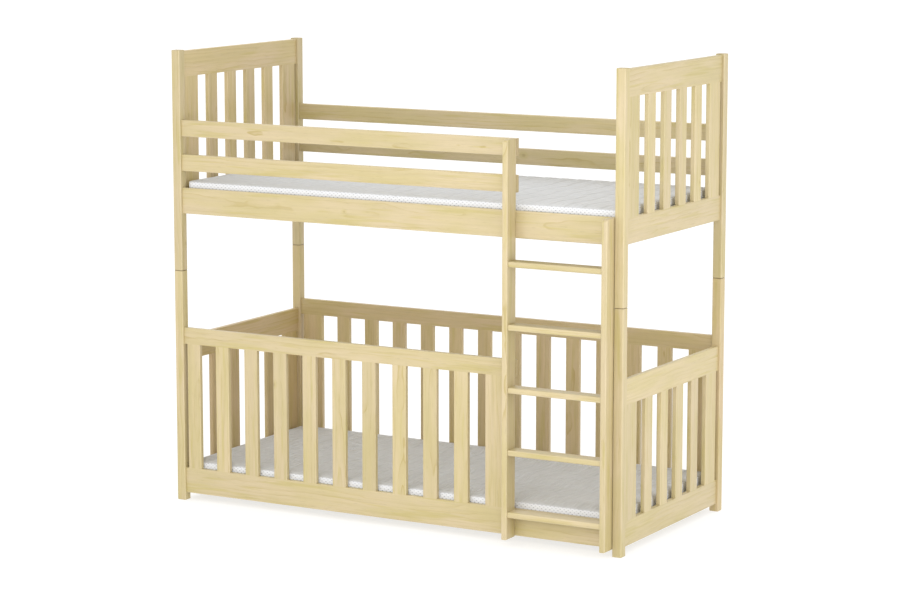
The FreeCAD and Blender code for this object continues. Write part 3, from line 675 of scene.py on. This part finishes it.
def knitTopMaterial(look, mattress):
    # ribs and knit rows on the cloth's own map, with a stitched thread along every quilting line
    material, t = newMaterial("knitCover")
    shares = look["shares"]
    u, v, unused = axes(t, add(t, "UVMap", uv_map="cloth").outputs[0])
    knitU = calc(t, "SINE", times(t, u, 2 * math.pi / look["knitWidth"]))
    knitV = calc(t, "SINE", times(t, v, math.pi / look["knitWidth"]))
    knit = times(t, knitU, knitV)
    rib = calc(t, "SINE", times(t, u, 2 * math.pi / mattress["ribPitch"]))
    begin = float(lowerLow[0] + mattress["inset"])
    line = calc(t, "PINGPONG", calc(t, "SUBTRACT", u, begin), mattress["quiltPitch"] / 2)
    groove = ramp(t, line, 0.0, look["grooveWidth"], 1.0, 0.0)
    dash = calc(t, "FRACT", calc(t, "DIVIDE", v, look["threadStep"]))
    dash = calc(t, "GREATER_THAN", dash, look["threadGap"])
    thread = times(t, ramp(t, line, *look["threadWidth"], 1.0, 0.0), dash)
    place = vector(t, u, v, 0.0)
    cloud = noise(t, place, look["topClouds"], 3.0)["Fac"]
    fuzz = noise(t, place, look["topFuzz"])["Fac"]
    color = blendColor(t, ramp(t, cloud, 0.3, 0.75), look["cloth"], look["clothShade"])
    # painted shade in the grey thread colour along the quilting grooves, the rib troughs and the knit
    # rows
    for share, value in (("groove", groove), ("rib", ramp(t, rib, -1.0, -0.2, 1.0, 0.0)),
                         ("knit", ramp(t, knit, -0.8, 0.2, 1.0, 0.0))):
        color = blendColor(t, times(t, value, shares[share]), color, look["thread"])
    color = blendColor(t, times(t, thread, shares["thread"]), color, look["mesh"])
    roughness = timesPlus(t, fuzz, *look["topRough"])
    relief = look["topRelief"]
    height = times(t, rib, relief["rib"])
    for key, pattern in (("knit", knit), ("fuzz", fuzz), ("groove", groove), ("thread", thread)):
        height = timesPlus(t, pattern, relief[key], height)
    sheen, sheenRoughness = look["topSheen"]
    finishMaterial(t, color, roughness, height, *look["topBump"],
                   Sheen_Weight=sheen, Sheen_Roughness=sheenRoughness)
    return material


def borderMaterial(look):
    # spacer mesh: rows of small long holes, every other row half a step along
    material, t = newMaterial("meshBorder")
    u, v, unused = axes(t, add(t, "UVMap", uv_map="cloth").outputs[0])
    row = calc(t, "DIVIDE", v, look["holeRow"])
    rowNumber = calc(t, "FLOOR", row)
    across = times(t, calc(t, "SUBTRACT", calc(t, "FRACT", row), 0.5), look["holeRow"])
    shift = times(t, calc(t, "MODULO", rowNumber, 2.0), 0.5)
    column = calc(t, "ADD", calc(t, "DIVIDE", u, look["holePitch"]), shift)
    along = times(t, calc(t, "SUBTRACT", calc(t, "FRACT", column), 0.5), look["holePitch"])
    reach = hypotenuse(t, calc(t, "DIVIDE", along, look["holeStretch"]), across)
    holeNumber = vector(t, calc(t, "FLOOR", column), rowNumber, 0.0)
    chance = add(t, "TexWhiteNoise", {"Vector": holeNumber}, noise_dimensions="2D").outputs[0]
    hole = ramp(t, reach, *look["holeRadius"], 1.0, 0.0)
    fuzz = noise(t, vector(t, u, v, 0.0), look["borderFuzz"], 3.0)["Fac"]
    fuzzShare = times(t, ramp(t, fuzz, 0.4, 0.75), look["shares"]["fuzz"])
    color = blendColor(t, fuzzShare, look["mesh"], look["meshShade"])
    least, more = look["holeShare"]
    color = blendColor(t, times(t, hole, timesPlus(t, chance, more, least)), color, look["hole"])
    roughness = timesPlus(t, fuzz, *look["borderRough"])
    relief = look["borderRelief"]
    height = timesPlus(t, hole, relief["hole"], times(t, fuzz, relief["fuzz"]))
    sheen, sheenRoughness = look["borderSheen"]
    finishMaterial(t, color, roughness, height, *look["borderBump"],
                   Sheen_Weight=sheen, Sheen_Roughness=sheenRoughness)
    return material


def buildMattresses(look):
    cover = [knitTopMaterial(coverLook, look), borderMaterial(coverLook)]
    start, faces, uv, border, held = mattressStart(look, lowerLow, lowerHigh)
    lower = meshFromArrays("lower_mattress_cover", start, faces, uv, border, cover)
    writePoints(lower.data, inflate(lower, look, held, start))
    subdivide(lower)
    points = ribs(readPoints(lower.data).astype(np.float64), look, lowerLow, lowerHigh)
    points[:, 2] = np.maximum(points[:, 2], lowerLow[2])
    writePoints(lower.data, points)
    # the upper one is the same cover, turned end for end
    upper = bpy.data.objects.new("upper_mattress_cover", lower.data.copy())
    bpy.context.scene.collection.objects.link(upper)
    middle = (lowerLow + lowerHigh) / 2
    turned = points.copy()
    turned[:, :2] = 2 * middle[:2] - points[:, :2]
    turned[:, 2] += upperLow[2] - lowerLow[2]
    writePoints(upper.data, turned)
    for piece, node in ((lower, "lower_mattress"), (upper, "upper_mattress")):
        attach(piece, node)
        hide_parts(node)


buildMattresses(mattressLook)
print("stage 4: mattresses")


# Room: pale floor, soft light from the front and from the sky, and the camera

roomLook = {
    "floorSize": 400.0,
    "floorColor": (0.38, 0.38, 0.38),
    "floorShade": 0.985,
    "floorGlow": 0.66,
    "skyLow": 0.60,
    "skyHigh": 1.28,
    "skyBand": (0.1, 0.95),               # of the upward part of the direction
    "boxes": {                            # middle, aim, width, height, power
        "frontBox": ((0.40, -3.1, 1.4), (0.0, 0.0, 1.1), 4.2, 1.9, 46.0),
        "sideBox": ((3.7, -0.6, 1.3), (0.0, 0.0, 1.05), 3.0, 1.9, 35.0),
    },
    "fillStrength": 0.45,
    "fillTurn": (55.0, 0.0, 215.0),
    "fillSpread": 40.0,
    "cameraPlace": (5.2005, -9.1255, 2.4281),
    "cameraYaw": 29.551,
    "cameraPitch": 8.884,
    "lens": 113.96,
    "sensorWidth": 36.0,
    "farthest": 500.0,
}


def softBox(name, middle, aim, width, height, power):
    light = bpy.data.lights.new(name, "AREA")
    light.shape = "RECTANGLE"
    light.size = width
    light.size_y = height
    light.energy = power
    lamp = bpy.data.objects.new(name, light)
    lamp.location = middle
    lamp.rotation_euler = (Vector(aim) - Vector(middle)).to_track_quat("-Z", "Y").to_euler()
    lamp.visible_camera = False
    bpy.context.scene.collection.objects.link(lamp)


def buildFloor(look):
    half = look["floorSize"] / 2
    corners = [(-half, -half, 0), (half, -half, 0), (half, half, 0), (-half, half, 0)]
    mesh = bpy.data.meshes.new("floor")
    mesh.from_pydata(corners, [], [(0, 1, 2, 3)])
    floor = bpy.data.objects.new("floor", mesh)
    bpy.context.scene.collection.objects.link(floor)
    material, t = newMaterial("paleFloor")
    grit = noise(t, add(t, "TexCoord").outputs["Object"], 3.0)["Fac"]
    shade = tuple(look["floorShade"] * value for value in look["floorColor"])
    color = blendColor(t, grit, look["floorColor"], shade)
    roughness = timesPlus(t, grit, 0.1, 0.8)
    finishMaterial(t, color, roughness, grit, 0.0001, 0.1, Specular_IOR_Level=0.2,
                   Emission_Color=(1.0, 1.0, 1.0, 1.0), Emission_Strength=look["floorGlow"])
    mesh.materials.append(material)


def buildLight(look):
    scene = bpy.context.scene
    world = bpy.data.worlds.new("sky")
    world.use_nodes = True
    t = world.node_tree
    upwards = axes(t, add(t, "TexCoord").outputs["Generated"])[2]
    strength = ramp(t, upwards, *look["skyBand"], look["skyLow"], look["skyHigh"])
    t.links.new(strength, t.nodes["Background"].inputs[1])
    t.nodes["Background"].inputs[0].default_value = (1.0, 1.0, 1.0, 1.0)
    scene.world = world
    for name, values in look["boxes"].items():
        softBox(name, *values)
    fill = bpy.data.lights.new("fill", "SUN")
    fill.energy = look["fillStrength"]
    fill.angle = math.radians(look["fillSpread"])
    lamp = bpy.data.objects.new("fill", fill)
    lamp.rotation_euler = Euler([math.radians(angle) for angle in look["fillTurn"]])
    scene.collection.objects.link(lamp)


def buildCamera(look):
    scene = bpy.context.scene
    data = bpy.data.cameras.new("camera")
    data.lens = look["lens"]
    data.sensor_width = look["sensorWidth"]
    data.clip_end = look["farthest"]
    camera = bpy.data.objects.new("camera", data)
    camera.location = look["cameraPlace"]
    turn = (90 - look["cameraPitch"], 0.0, look["cameraYaw"])
    camera.rotation_euler = Euler([math.radians(angle) for angle in turn])
    scene.collection.objects.link(camera)
    scene.camera = camera
    scene.view_settings.view_transform = "Standard"
    scene.view_settings.look = "None"


buildFloor(roomLook)
buildLight(roomLook)
buildCamera(roomLook)
print("stage 5: room")
